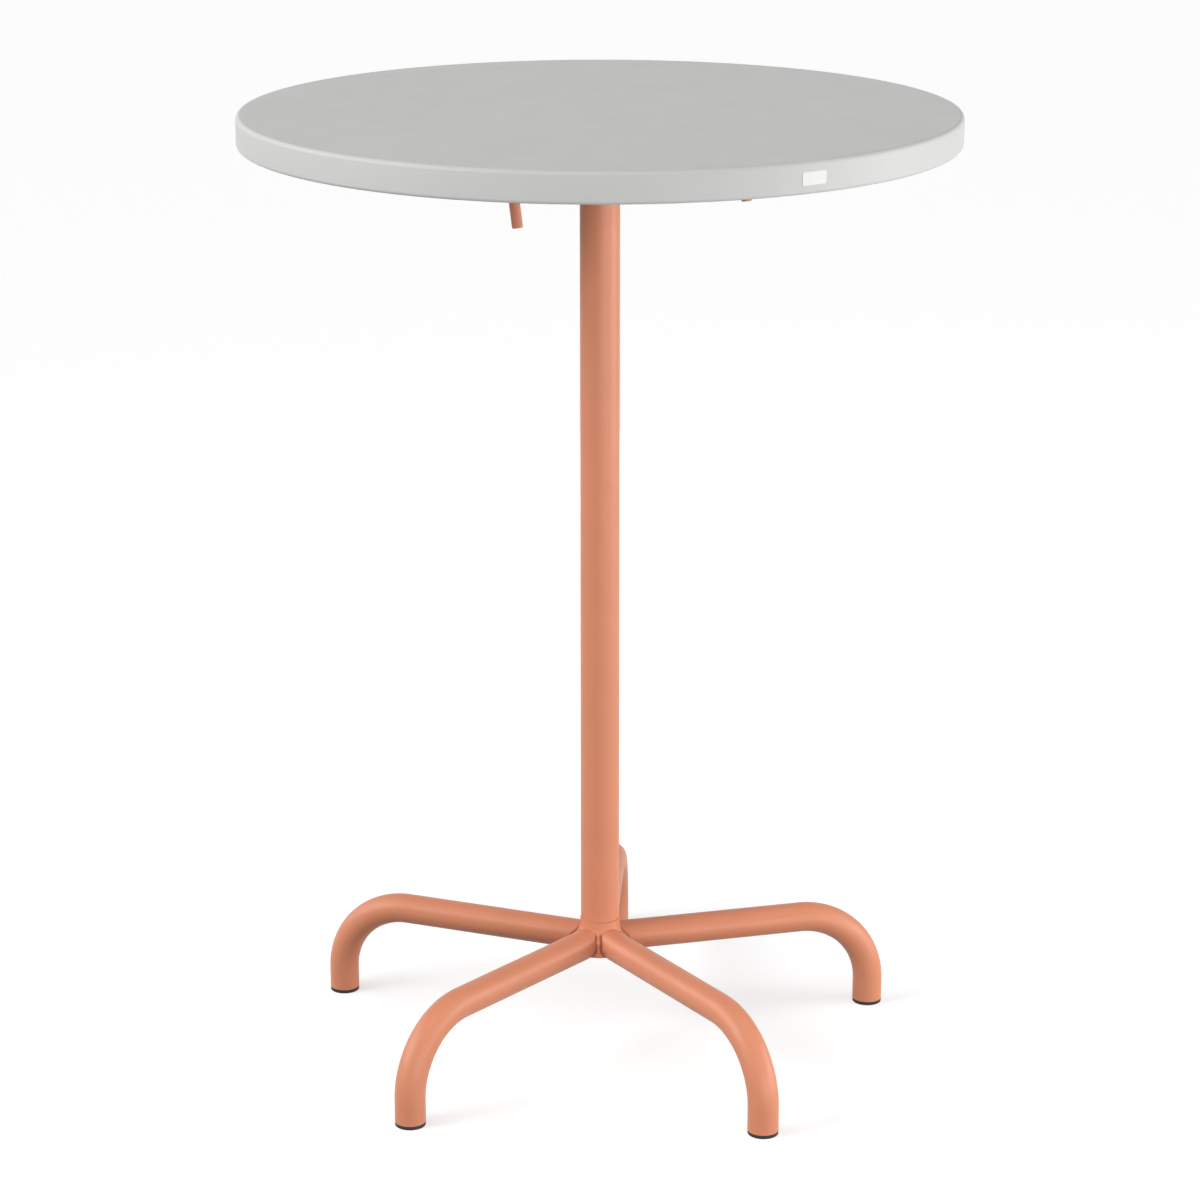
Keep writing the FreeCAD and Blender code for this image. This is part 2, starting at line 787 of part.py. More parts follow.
def make_release_bar():
    """One bent rod: the bar across the bracket and a finger lever at each end."""
    body = new_body("release_bar")
    arm = size.lever_spacing / 2
    bend = size.bar_bend_radius
    length = size.lever_length
    spine = new_sketch(body, "spine", "XZ_Plane")
    left = draw_line(spine, (-arm, -length), (-arm, -bend))
    middle = draw_line(spine, (bend - arm, 0), (arm - bend, 0))
    right = draw_line(spine, (arm, -bend), (arm, -length))
    left_bend = draw_bend(spine, (bend - arm, -bend), bend, 90, 180, middle, 1, left, 2)
    right_bend = draw_bend(spine, (arm - bend, -bend), bend, 0, 90, right, 1, middle, 2)
    section = new_sketch(body, "section", "XY_Plane", -length)
    draw_circle(section, -arm, 0, size.bar_diameter / 2)
    rod = sweep(body, section, spine, [left, left_bend, middle, right_bend, right])
    ends = ring_at((size.bar_diameter / 2, -length))
    dress(body, "Chamfer", rod, ends, "Size", size.bar_chamfer)
    place(body, 0, bar_place, bar_height, axis=(1, 0, 0), angle=-size.lever_tilt.value)
    node(body, "release_bar")


def make_release_cam():
    """The welded cam that pushes the catch away, and whose heel stops under the mounting plate."""
    body = new_body("release_cam")
    tip = size.cam_tip
    heel = size.bar_drop - size.seat_gap
    lead = size.catch_lead_run / size.catch_lead_rise
    radius = size.bar_diameter / 2
    nose = strike_place - bar_place - size.catch_hook_reach + size.cam_stand_off
    nose_below = bar_height - pivot_height - size.catch_hook_rise
    front_low = nose - lead * (nose_below - tip)
    front_high = nose - lead * (nose_below - radius)
    outline = [
        (front_low, -tip), (front_low + size.cam_tip_width, -tip), (size.cam_back, -size.cam_back_drop),
        (size.cam_heel_reach, heel), (0, heel), (-size.cam_front, size.cam_front_rise), (front_high, -radius),
    ]
    sketch = new_sketch(body, "outline", "YZ_Plane", -size.cam_width / 2)
    draw_outline(sketch, outline)
    draw_circle(sketch, 0, 0, radius + size.running_gap)
    pad(body, sketch, size.cam_width)
    place(body, 0, bar_place, bar_height)
    node(body, "release_cam")


def make_bar_clips():
    bore = size.bar_diameter / 2 + size.running_gap
    inner = cheek_outer + size.bar_bush_flange_thickness + size.seat_gap
    outer = inner + size.clip_thickness
    clips = []
    for name, side in SIDES:
        body, _ = turned(f"bar_clip_{name}", [
            (bore, 0), (size.clip_diameter / 2, 0), (size.clip_diameter / 2, size.clip_thickness),
            (bore, size.clip_thickness),
        ])
        start = side_start(side, inner, outer)
        clips.append(place(body, start, bar_place, bar_height, (0, 1, 0), QUARTER_TURN))
    group("bar_clips", clips)


def make_column():
    body = new_body("column_tube")
    sketch = new_sketch(body, "section", "XY_Plane", size.column_foot_height)
    draw_circle(sketch, 0, 0, size.column_diameter / 2)
    draw_circle(sketch, 0, 0, column_bore)
    pad(body, sketch, head_under - size.column_foot_height)
    node(body, "column_tube")


def turned_hub(name, inside_low, low, high, inside_high):
    """A turned piece with the hub's outside: a wide body, a conical shoulder and a neck."""
    outside = [(hub_radius, low), (hub_radius, hub_shoulder), (hub_neck, hub_neck_foot), (hub_neck, high)]
    body, feature = turned(name, [*inside_low, *outside, *inside_high])
    dress(body, "Fillet", feature, ring_at((hub_radius, hub_shoulder)), "Radius", size.hub_shoulder_radius)
    return body


def make_base_hub():
    """The hub that the legs are welded to, with a neck under the column and a spigot inside it."""
    spigot = column_bore - size.running_gap
    recess = size.hub_recess_diameter / 2
    recess_top = size.hub_bottom_height + size.hub_recess_depth
    top = size.column_foot_height + size.hub_spigot_length
    hollow = [(0, recess_top), (recess, recess_top), (recess, size.hub_bottom_height)]
    plug = [(spigot, size.column_foot_height), (spigot, top), (0, top)]
    node(turned_hub("base_hub", hollow, size.hub_bottom_height, size.column_foot_height, plug), "base_hub")


def make_cope():
    """The outside of the hub, carried down to the floor, which the ends of the legs are cut to."""
    top = size.leg_axis_height * 2
    return turned_hub("leg_cope", [(0, 0)], 0, top, [(0, top)])


def make_leg(index, angle, cope):
    """A bent tube from the hub out and down to the floor, made towards -Y and then turned."""
    body = new_body(f"leg_{index}")
    bend = size.leg_bend_radius
    height = size.leg_axis_height
    start = hub_radius / 2
    spine = new_sketch(body, "spine", "YZ_Plane")
    level = draw_line(spine, (-start, height), (bend - foot_circle_radius, height))
    upright = draw_line(spine, (-foot_circle_radius, height - bend), (-foot_circle_radius, size.glide_height))
    centre = (bend - foot_circle_radius, height - bend)
    corner = draw_bend(spine, centre, bend, 90, 180, level, 2, upright, 1)
    section = new_sketch(body, "section", "XZ_Plane", start)
    draw_circle(section, 0, height, leg_radius)
    draw_circle(section, 0, height, leg_radius - size.leg_wall)
    sweep(body, section, spine, [level, corner, upright])
    place(body, axis=(0, 0, 1), angle=angle)
    node(cut(f"leg_{index}_coped", body, cope), f"leg_{index}")


def make_foot_glide(index, angle):
    """A plastic glide with a plug that is pressed into the leg tube."""
    flange = leg_radius - size.glide_inset
    plug = leg_radius - size.leg_wall - size.glide_inset
    bore = plug - size.glide_plug_wall
    height = size.glide_height
    top = height + size.glide_plug_length
    body, feature = turned(f"foot_glide_{index}", [
        (0, 0), (flange, 0), (flange, height), (plug, height), (plug, top), (bore, top), (bore, height),
        (0, height),
    ])
    dress(body, "Fillet", feature, ring_at((flange, 0)), "Radius", size.glide_edge_radius)
    turn = radians(angle)
    place(body, foot_circle_radius * sin(turn), foot_circle_radius * -cos(turn), 0)
    node(body, f"foot_glide_{index}")


def check_document():
    """Stop if any object failed or any piece is not a valid solid."""
    document.recompute()
    for item in document.Objects:
        if {"Invalid", "Error"} & set(item.State):
            raise ValueError(f"{item.Label}: {item.State}")
    for item in nodes:
        if item.Shape.isNull() or not item.Shape.isValid() or not item.Shape.Solids:
            raise ValueError(f"{item.Label}: no valid solid")


make_table_top()
make_thread_inserts()
make_mounting_plate()
make_mounting_screws()
make_fold_stop()
make_strike_rod()
make_pivot()
make_pivot_spacer()
make_head_plate()
make_spring_catch()
make_catch_screws()
make_release_bar()
make_release_cam()
make_bar_clips()
make_column()
make_base_hub()
for side_name, side_sign in SIDES:
    make_cheek(side_name, side_sign)
    make_bushes(side_name, side_sign)
    make_head_ear(side_name, side_sign)
    make_rest_pad(side_name, side_sign)
leg_cope = make_cope()
for leg_index in range(int(size.leg_count.value)):
    leg_angle = leg_index * 360 / size.leg_count.value
    make_leg(leg_index + 1, leg_angle, leg_cope)
    make_foot_glide(leg_index + 1, leg_angle)
check_document()
os.makedirs("parts", exist_ok=True)
for item in nodes:
    item.Shape.exportStep(f"parts/{item.Label}.step")
    print(f"{item.Label}: {len(item.Shape.Solids)} solid(s), {item.Shape.Volume:.0f} mm3")
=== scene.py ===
"""Looks of the folding bar table: materials, small details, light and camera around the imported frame."""
import json
import math
import bmesh
import bpy
from mathutils import Matrix, Vector


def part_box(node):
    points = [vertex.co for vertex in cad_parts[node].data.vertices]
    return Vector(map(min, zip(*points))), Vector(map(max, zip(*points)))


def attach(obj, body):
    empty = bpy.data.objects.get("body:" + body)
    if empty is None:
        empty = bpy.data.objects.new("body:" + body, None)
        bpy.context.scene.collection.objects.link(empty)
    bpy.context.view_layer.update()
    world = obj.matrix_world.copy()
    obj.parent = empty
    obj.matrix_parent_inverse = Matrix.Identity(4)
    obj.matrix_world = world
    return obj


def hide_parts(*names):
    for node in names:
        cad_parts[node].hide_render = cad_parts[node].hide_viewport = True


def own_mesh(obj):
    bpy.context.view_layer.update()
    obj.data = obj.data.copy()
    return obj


MM = 0.001

# Camera that matches the photograph: place in metres, angles in degrees, lens on a 36 mm sensor
CAMERA_PLACE = (-2.0311, -3.1566, 1.6751)
CAMERA_HEADING = -32.76
CAMERA_PITCH = 16.89
CAMERA_LENS = 102.376
CAMERA_SENSOR = 36
CAMERA_REACH = 100

# Colours, linear
SALMON = (0.615, 0.230, 0.125)
TOP_GREY = (0.537, 0.537, 0.525)
ZINC = (0.62, 0.63, 0.64)
SPRING_STEEL = (0.30, 0.31, 0.33)
NYLON = (0.78, 0.76, 0.69)
RUBBER_BLACK = (0.022, 0.022, 0.023)
PLASTIC_BLACK = (0.024, 0.023, 0.023)
BRASS = (0.72, 0.50, 0.20)
PLATE_WHITE = (0.65, 0.65, 0.64)

# Range in which most of a noise lies
NOISE_LOW = 0.3
NOISE_HIGH = 0.7

# How far the roughness of a metal or a plastic goes from its middle
METAL_SWING = 0.07
PLASTIC_SWING = 0.06

# Hollow under the top, where the finish is rougher
HOLLOW_RADIUS = 397.5 * MM
HOLLOW_HEIGHT = 1097 * MM
HOLLOW_EDGE = 0.2 * MM

# Screws and the pivot bolt
MOUNTING_SCREW = {"head_radius": 6 * MM, "head_height": 3.6 * MM, "key_width": 4 * MM, "shank_radius": 3 * MM}
CATCH_SCREW = {"head_radius": 4.5 * MM, "head_height": 3 * MM, "key_width": 3 * MM, "shank_radius": 2.5 * MM}
BOLT_HEAD_WIDTH = 19 * MM
BOLT_HEAD_HEIGHT = 7.5 * MM
BOLT_FACE_RADIUS = BOLT_HEAD_WIDTH * 0.47
BOLT_BEVEL = 1.5 * MM
BOLT_BEVEL_ROWS = 8
BOLT_RADIUS = 6 * MM
THREAD_PITCH = 1.75 * MM
THREAD_DEPTH = 1.0 * MM
THREAD_ROOT = 1.1  # depth of a groove's profile at its middle, of which more than 1 is flat
THREAD_FLANK = 1.2  # how much of that depth is lost over half a pitch
THREAD_ROWS = 12

# Weld beads
BEAD_LEG = 4 * MM
BEAD_SINK = 0.3 * MM
BEAD_ROUND = 0.45  # 0 for a flat bead and 1 for a round one
BEAD_POINTS = 7
BEAD_END = 0.02  # least share of a bead's leg that its rounded end starts from, squared
BEAD_RIPPLE = 2.4 * MM
RIPPLE_LEAST = 0.88  # share of a bead's leg that is left between two ripples
RIPPLE_ROWS = 6
CHEEK_STITCHES = ((-38 * MM, -10 * MM), (8 * MM, 36 * MM), (48 * MM, 64 * MM))
EAR_STITCHES = ((-30 * MM, -10 * MM), (4 * MM, 24 * MM))

# Hub, with the legs that end on it and the grooves beside them
HUB_RADIUS = 36 * MM
HUB_NECK_RADIUS = 23.25 * MM
HUB_SHOULDER = 124 * MM
HUB_NECK_FOOT = 134 * MM
HUB_ROUNDING = 1.5 * MM
HUB_SAMPLES = 7  # heights that a rounded radius is the mean of
HUB_RECESS_RADIUS = 23 * MM
HUB_RECESS_DEPTH = 20 * MM
HUB_SIDES = 480
HUB_STEP = 0.5 * MM
SEAM_HEIGHT = 0.9 * MM
SEAM_RADIUS = 21.8 * MM
SPIGOT_RADIUS = 20.45 * MM
LEG_COUNT = 5
LEG_RADIUS = 17.5 * MM
LEG_HEIGHT = 118 * MM
GROOVE_WIDTH = 2.4 * MM
GROOVE_DEPTH = 3 * MM
GROOVE_EDGE = 1.2 * MM
GROOVE_FOOT = 106 * MM
GROOVE_TOP = 133 * MM
GROOVE_FADE = 4 * MM
BETWEEN_DEPTH = 1.5 * MM

# Rim of the top and the bare plate on it
TOP_RADIUS = 400 * MM
TOP_HEIGHT = 1100 * MM
TOP_ROUND = 5 * MM
TOP_ROUND_ROWS = 13
RIM_FOOT = 1066 * MM
RIM_ROUND = 4 * MM
RIM_ROUND_ROWS = 11
PLATE_HALF_WIDTH = 15 * MM
PLATE_HALF_HEIGHT = 7 * MM
PLATE_CORNER = 2 * MM
PLATE_PROUD = 0.45 * MM
PLATE_BEVEL = 0.2 * MM
PLATE_HEIGHT = 1082.5 * MM
PLATE_ROWS = 12

# Leaf spring
SPRING_UPRIGHT = -57 * MM
SPRING_BEND = 1037 * MM

# Meshes
SIDES = 72  # points round a small turned piece
ROUND_ROWS = 9  # rows in a quarter turn of a small rounding
SHARP = math.radians(35)
LEVEL = 0.9999  # least upright part of a level face's normal
MERGE = 0.001 * MM  # points that are closer than this become one
CLOSE = 0.02 * MM  # how far a point may be from the line that it counts as being on

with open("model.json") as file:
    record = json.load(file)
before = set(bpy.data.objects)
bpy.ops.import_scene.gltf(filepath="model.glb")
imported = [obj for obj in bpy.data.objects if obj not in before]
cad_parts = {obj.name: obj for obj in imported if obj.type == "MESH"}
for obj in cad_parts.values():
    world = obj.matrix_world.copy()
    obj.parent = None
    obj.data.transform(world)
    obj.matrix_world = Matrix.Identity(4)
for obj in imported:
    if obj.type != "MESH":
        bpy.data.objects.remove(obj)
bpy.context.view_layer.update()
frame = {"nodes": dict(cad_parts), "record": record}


class Shader:
    """A material's node tree, built one node at a time."""

    def __init__(self, name):
        self.material = bpy.data.materials.new(name)
        self.material.use_nodes = True
        self.tree = self.material.node_tree
        self.tree.nodes.clear()
        self.surface = self.add("ShaderNodeBsdfPrincipled")
        output = self.add("ShaderNodeOutputMaterial")
        self.link(self.surface.outputs["BSDF"], output.inputs["Surface"])
        self.place = self.add("ShaderNodeTexCoord").outputs["Object"]

    def add(self, kind, **values):
        node = self.tree.nodes.new(kind)
        for name, value in values.items():
            setattr(node, name, value)
        return node

    def link(self, source, target):
        self.tree.links.new(source, target)

    def feed(self, socket, value):
        """Give a socket a plain number or another node's output."""
        if isinstance(value, (int, float)):
            socket.default_value = value
        else:
            self.link(value, socket)

    def set(self, **values):
        """Set plain values on the surface's own sockets."""
        for name, value in values.items():
            self.surface.inputs[name.replace("_", " ")].default_value = value

    def finish(self, colour, roughness):
        """Link the surface's colour and roughness."""
        self.link(colour, self.surface.inputs["Base Color"])
        self.link(roughness, self.surface.inputs["Roughness"])

    def noise(self, size, detail=2.0, stretch=(1, 1, 1)):
        """Cloudy noise whose blotches are about the given size in metres."""
        mapping = self.add("ShaderNodeMapping")
        mapping.inputs["Scale"].default_value = [1 / (size * s) for s in stretch]
        self.link(self.place, mapping.inputs["Vector"])
        texture = self.add("ShaderNodeTexNoise")
        texture.inputs["Scale"].default_value = 1
        texture.inputs["Detail"].default_value = detail
        self.link(mapping.outputs["Vector"], texture.inputs["Vector"])
        return texture.outputs["Fac"]

    def remap(self, value, low, high, at_low, at_high):
        """Map a value between low and high to one between at_low and at_high."""
        node = self.add("ShaderNodeMapRange")
        for name, limit in (("From Min", low), ("From Max", high), ("To Min", at_low), ("To Max", at_high)):
            node.inputs[name].default_value = limit
        self.link(value, node.inputs["Value"])
        return node.outputs["Result"]

    def span(self, factor, low, high):
        """Map the middle of a noise to a range of values."""
        return self.remap(factor, NOISE_LOW, NOISE_HIGH, low, high)

    def below(self, value, limit, soft):
        """1 where a value is under a limit and 0 above it, with a soft edge."""
        return self.remap(value, limit - soft, limit, 1, 0)

    def math(self, operation, *values):
        node = self.add("ShaderNodeMath", operation=operation)
        for socket, value in zip(node.inputs, values):
            self.feed(socket, value)
        return node.outputs["Value"]

    def blend(self, factor, low, high):
        """A value that goes from low to high as the factor goes from 0 to 1."""
        node = self.add("ShaderNodeMix", data_type="FLOAT")
        for socket, value in zip(node.inputs[:1] + node.inputs[2:4], (factor, low, high)):
            self.feed(socket, value)
        return node.outputs[0]

    def shade(self, colour, factors):
        """A colour made lighter and darker by factors about 1."""
        source = None
        for factor in factors:
            node = self.add("ShaderNodeVectorMath", operation="SCALE")
            if source is None:
                node.inputs[0].default_value = colour
            else:
                self.link(source, node.inputs[0])
            self.link(factor, node.inputs["Scale"])
            source = node.outputs["Vector"]
        return source

    def bump(self, heights):
        """Bumps from (height, depth in metres) pairs, one on the other."""
        normal = None
        for height, depth in heights:
            node = self.add("ShaderNodeBump")
            node.inputs["Strength"].default_value = 1
            node.inputs["Distance"].default_value = depth
            self.link(height, node.inputs["Height"])
            if normal is not None:
                self.link(normal, node.inputs["Normal"])
            normal = node.outputs["Normal"]
        self.link(normal, self.surface.inputs["Normal"])


def powder_coat():
    """A salmon coat with a fine orange-peel grain."""
    shader = Shader("powder_coat")
    cloud = shader.span(shader.noise(60 * MM, detail=3), 0.975, 1.025)
    grain = shader.noise(1.1 * MM, detail=1)
    peel = shader.noise(2.5 * MM, detail=1)
    fleck = shader.span(grain, 0.985, 1.015)
    roughness = shader.span(shader.noise(25 * MM), 0.40, 0.48)
    shader.finish(shader.shade(SALMON, [cloud, fleck]), roughness)
    shader.set(Specular_IOR_Level=0.35)
    shader.bump([(peel, 0.03 * MM), (grain, 0.012 * MM)])
    return shader.material


def moulded_top():
    """Smooth and satin outside, duller and rougher in the hollow that the mould's back leaves."""
    shader = Shader("moulded_top")
    split = shader.add("ShaderNodeSeparateXYZ")
    shader.link(shader.place, split.inputs["Vector"])
    x, y, z = (split.outputs[axis] for axis in "XYZ")
    squares = shader.math("ADD", shader.math("MULTIPLY", x, x), shader.math("MULTIPLY", y, y))
    inside = shader.below(shader.math("SQRT", squares), HOLLOW_RADIUS, HOLLOW_EDGE)
    hollow = shader.math("MULTIPLY", inside, shader.below(z, HOLLOW_HEIGHT, HOLLOW_EDGE))
    cloud = shader.span(shader.noise(180 * MM, detail=3), 0.994, 1.006)
    grain = shader.noise(0.9 * MM, detail=1)
    fibre = shader.noise(2.2 * MM, detail=4, stretch=(1, 4, 1))
    fleck = shader.blend(hollow, shader.span(grain, 0.99, 1.01), shader.span(fibre, 0.80, 0.94))
    satin = shader.span(shader.noise(40 * MM), 0.46, 0.54)
    dull = shader.span(fibre, 0.62, 0.78)
    shader.finish(shader.shade(TOP_GREY, [cloud, fleck]), shader.blend(hollow, satin, dull))
    rough = shader.math("MULTIPLY", hollow, fibre)
    shader.set(Specular_IOR_Level=0.15)
    shader.bump([(shader.noise(14 * MM), 0.02 * MM), (grain, 0.01 * MM), (rough, 0.12 * MM)])
    return shader.material


def plate_film():
    """A plain white film with a very fine grain."""
    shader = Shader("plate_film")
    grain = shader.noise(0.8 * MM, detail=1)
    cloud = shader.span(shader.noise(9 * MM), 0.98, 1.02)
    shader.finish(shader.shade(PLATE_WHITE, [cloud]), shader.span(grain, 0.36, 0.44))
    shader.bump([(grain, 0.004 * MM)])
    return shader.material


def metal(name, colour, roughness, brush, depth):
    """A bare metal with fine marks stretched along the brush direction."""
    shader = Shader(name)
    marks = shader.noise(0.5 * MM, detail=3, stretch=brush)
    cloud = shader.span(shader.noise(12 * MM, detail=3), 0.90, 1.08)
    fleck = shader.span(marks, 0.96, 1.03)
    sheen = shader.span(marks, roughness - METAL_SWING, roughness + METAL_SWING)
    shader.finish(shader.shade(colour, [cloud, fleck]), sheen)
    shader.set(Metallic=1.0)
    shader.bump([(marks, depth)])
    return shader.material


def plastic(name, colour, roughness, grain_size, depth, gloss=0.5):
    """A moulded plastic or rubber with an even grain."""
    shader = Shader(name)
    cloud = shader.span(shader.noise(15 * MM, detail=3), 0.92, 1.08)
    grain = shader.noise(grain_size, detail=2)
    sheen = shader.span(grain, roughness - PLASTIC_SWING, roughness + PLASTIC_SWING)
    shader.finish(shader.shade(colour, [cloud]), sheen)
    shader.set(Specular_IOR_Level=gloss)
    shader.bump([(grain, depth)])
    return shader.material


finishes = {
    "powder_coat": powder_coat(),
    "top_shell": moulded_top(),
    "zinc_steel": metal("zinc_steel", ZINC, 0.34, (1, 6, 1), 0.01 * MM),
    "spring_steel": metal("spring_steel", SPRING_STEEL, 0.38, (12, 1, 12), 0.01 * MM),
    "nylon": plastic("nylon", NYLON, 0.50, 0.8 * MM, 0.01 * MM),
    "rest_rubber": plastic("rest_rubber", RUBBER_BLACK, 0.78, 0.6 * MM, 0.03 * MM, gloss=0.35),
    "glide_plastic": plastic("glide_plastic", PLASTIC_BLACK, 0.66, 0.7 * MM, 0.02 * MM, gloss=0.3),
    "brass": metal("brass", BRASS, 0.36, (1, 1, 5), 0.01 * MM),
}
for subpart in frame["record"]["subparts"]:
    cad_mesh = frame["nodes"][subpart["node"]].data
    cad_mesh.materials.clear()
    cad_mesh.materials.append(finishes[subpart["material_slot"]])


def limited(value):
    """A value kept between 0 and 1."""
    return min(max(value, 0), 1)


def spread(first, last, count):
    """Even places from the first to the last, or the middle for one."""
    if count == 1:
        return [(first + last) / 2]
    return [first + (last - first) * step / (count - 1) for step in range(count)]


def quarter_turn(count):
    return spread(0, math.pi / 2, count)


def ring(height, radius_at, sides=SIDES):
    """Points round the Z axis at a height, with a radius for each angle."""
    angles = [2 * math.pi * step / sides for step in range(sides)]
    return [Vector((radius_at(a) * math.cos(a), radius_at(a) * math.sin(a), height)) for a in angles]


def round_ring(height, radius, sides=SIDES):
    return ring(height, lambda angle: radius, sides)


def hexagon_radius(angle, width):
    """How far the side of a hexagon is from its middle at an angle."""
    return width / 2 / math.cos(angle % (math.pi / 3) - math.pi / 6)


def hexagon_ring(height, width):
    return ring(height, lambda angle: hexagon_radius(angle, width))


def add_rows(mesh, near, far):
    """Faces between two rows of points that go all the way round."""
    for i in range(len(near)):
        mesh.faces.new((near[i - 1], near[i], far[i], far[i - 1]))


def add_skin(mesh, rings, closed=False):
    """Skin a row of rings, which is either closed on itself or capped at both ends."""
    loops = [[mesh.verts.new(point) for point in points] for points in rings]
    pairs = list(zip(loops, loops[1:]))
    if closed:
        pairs.append((loops[-1], loops[0]))
    else:
        mesh.faces.new(loops[0][::-1])
        mesh.faces.new(loops[-1])
    for near, far in pairs:
        add_rows(mesh, near, far)


def cad_copy(node):
    """A copy of a CAD node's mesh with its points joined."""
    mesh = bmesh.new()
    mesh.from_mesh(frame["nodes"][node].data)
    bmesh.ops.remove_doubles(mesh, verts=mesh.verts, dist=MERGE)
    return mesh


def new_piece(name, mesh, finish, body):
    """Turn a bmesh into a piece that rides on a body."""
    bmesh.ops.recalc_face_normals(mesh, faces=mesh.faces)
    data = bpy.data.meshes.new(name)
    mesh.to_mesh(data)
    mesh.free()
    data.shade_smooth()
    data.set_sharp_from_angle(angle=SHARP)
    data.materials.append(finish)
    piece = bpy.data.objects.new(name, data)
    bpy.context.scene.collection.objects.link(piece)
    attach(piece, body)
    return piece


def screw_rings(head_radius, head_height, key_width, shank_radius, length):
    """A button-head screw with a hexagon socket, seated at height 0 with its shank below."""
    tip = 0.8 * MM
    mouth = 0.3 * MM
    side = head_height * 0.3
    flat = head_radius * 0.62
    socket = head_height * 0.4
    socket_centre = key_width / 8
    rings = [round_ring(-length, shank_radius - tip), round_ring(tip - length, shank_radius)]
    rings += [round_ring(0, shank_radius), round_ring(0, head_radius)]
    for turn in quarter_turn(ROUND_ROWS):
        radius = flat + (head_radius - flat) * math.cos(turn)
        rings.append(round_ring(side + (head_height - side) * math.sin(turn), radius))
    rings += [hexagon_ring(head_height, key_width + 2 * mouth), hexagon_ring(head_height - mouth, key_width)]
    rings += [hexagon_ring(socket, key_width), round_ring(socket - mouth, socket_centre)]
    return rings


def add_screws(name, node, screw, columns, rows, up, body):
    """Detailed screws in place of a CAD node's plain ones, which stand in columns and rows."""
    low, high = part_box(node)
    edge = screw["head_radius"]
    seat = high.z - screw["head_height"] if up else low.z + screw["head_height"]
    tilt = Matrix.Identity(4) if up else Matrix.Rotation(math.pi, 4, "X")
    rings = screw_rings(**screw, length=high.z - low.z - screw["head_height"])
    mesh = bmesh.new()
    for x in spread(low.x + edge, high.x - edge, columns):
        for y in spread(low.y + edge, high.y - edge, rows):
            place = Matrix.Translation((x, y, seat)) @ tilt
            add_skin(mesh, [[place @ point for point in points] for points in rings])
    piece = new_piece(name, mesh, finishes["zinc_steel"], body)
    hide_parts(node)


def bolt_head_radius(angle, depth):
    """Radius of the bolt's hexagon head at a depth under its face, whose corners are bevelled."""
    return min(hexagon_radius(angle, BOLT_HEAD_WIDTH), BOLT_FACE_RADIUS + depth * math.sqrt(3))


def bolt_thread_radius(angle, along, length):
    """Radius of the bolt's thread at a place along the bolt, with a bevelled end."""
    phase = (along / THREAD_PITCH - angle / (2 * math.pi)) % 1
    groove = limited(THREAD_ROOT - THREAD_FLANK * abs(2 * phase - 1))
    end = max(along - length + THREAD_DEPTH, 0)
    return BOLT_RADIUS - max(THREAD_DEPTH * groove, end)


def add_pivot_bolt():
    """The pivot bolt with a bevelled head and a cut thread, in place of the plain CAD one."""
    low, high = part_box("pivot_bolt")
    length = high.x - low.x
    thread_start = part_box("pivot_nut")[0].x - low.x
    rings = []
    for depth in spread(0, BOLT_BEVEL, BOLT_BEVEL_ROWS):
        rings.append(ring(depth, lambda angle: bolt_head_radius(angle, depth)))
    rings += [hexagon_ring(BOLT_HEAD_HEIGHT, BOLT_HEAD_WIDTH), round_ring(BOLT_HEAD_HEIGHT, BOLT_RADIUS)]
    rings.append(round_ring(thread_start, BOLT_RADIUS))
    rows = round((length - thread_start) / THREAD_PITCH * THREAD_ROWS)
    for along in spread(thread_start, length, rows)[1:]:
        rings.append(ring(along, lambda angle: bolt_thread_radius(angle, along, length)))
    middle = (low + high) / 2
    place = Matrix.Translation((low.x, middle.y, middle.z)) @ Matrix.Rotation(math.pi / 2, 4, "Y")
    mesh = bmesh.new()
    add_skin(mesh, [[place @ point for point in points] for points in rings])
    piece = new_piece("threaded_pivot_bolt", mesh, finishes["zinc_steel"], "top")
    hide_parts("pivot_bolt")


def bead_section(corner, across, up, leg):
    """Outline of a weld between two faces, with its edges a little under them."""
    root = corner - (across + up) * BEAD_SINK
    section = [root]
    for turn in quarter_turn(BEAD_POINTS):
        bulge = BEAD_ROUND + (1 - BEAD_ROUND) / (math.cos(turn) + math.sin(turn))
        reach = (leg + BEAD_SINK) * bulge
        section.append(root + (across * math.cos(turn) + up * math.sin(turn)) * reach)
    return section


def rippled(count):
    """Leg of a weld bead at a place along it that is counted in ripples."""
    return BEAD_LEG * (RIPPLE_LEAST + (1 - RIPPLE_LEAST) * abs(math.cos(math.pi * count)))


def add_straight_bead(mesh, start, end, across, up):
    """A bead with rounded ends."""
    length = (end - start).length
    rings = []
    for along in spread(0, length, round(length / BEAD_RIPPLE * RIPPLE_ROWS)):
        from_end = min(along, length - along) / BEAD_LEG
        leg = rippled(along / BEAD_RIPPLE) * math.sqrt(min(max(from_end, BEAD_END), 1))
        rings.append(bead_section(start.lerp(end, along / length), across, up, leg))
    add_skin(mesh, rings)


def add_round_bead(mesh, radius, height, up):
    """A bead all round an upright tube, with a whole number of ripples."""
    rows = round(2 * math.pi * radius / BEAD_RIPPLE) * RIPPLE_ROWS
    rings = []
    for step in range(rows):
        turn = 2 * math.pi * step / rows
        across = Vector((math.cos(turn), math.sin(turn), 0))
        corner = across * radius + Vector((0, 0, height))
        rings.append(bead_section(corner, across, up, rippled(step / RIPPLE_ROWS)))
    add_skin(mesh, rings, closed=True)


def add_stitches(mesh, face, seat, outward, up, stretches):
    """Short beads along Y in the corner between an upright face and the plate that it stands on."""
    for start, end in stretches:
        add_straight_bead(mesh, Vector((face, start, seat)), Vector((face, end, seat)), outward, up)


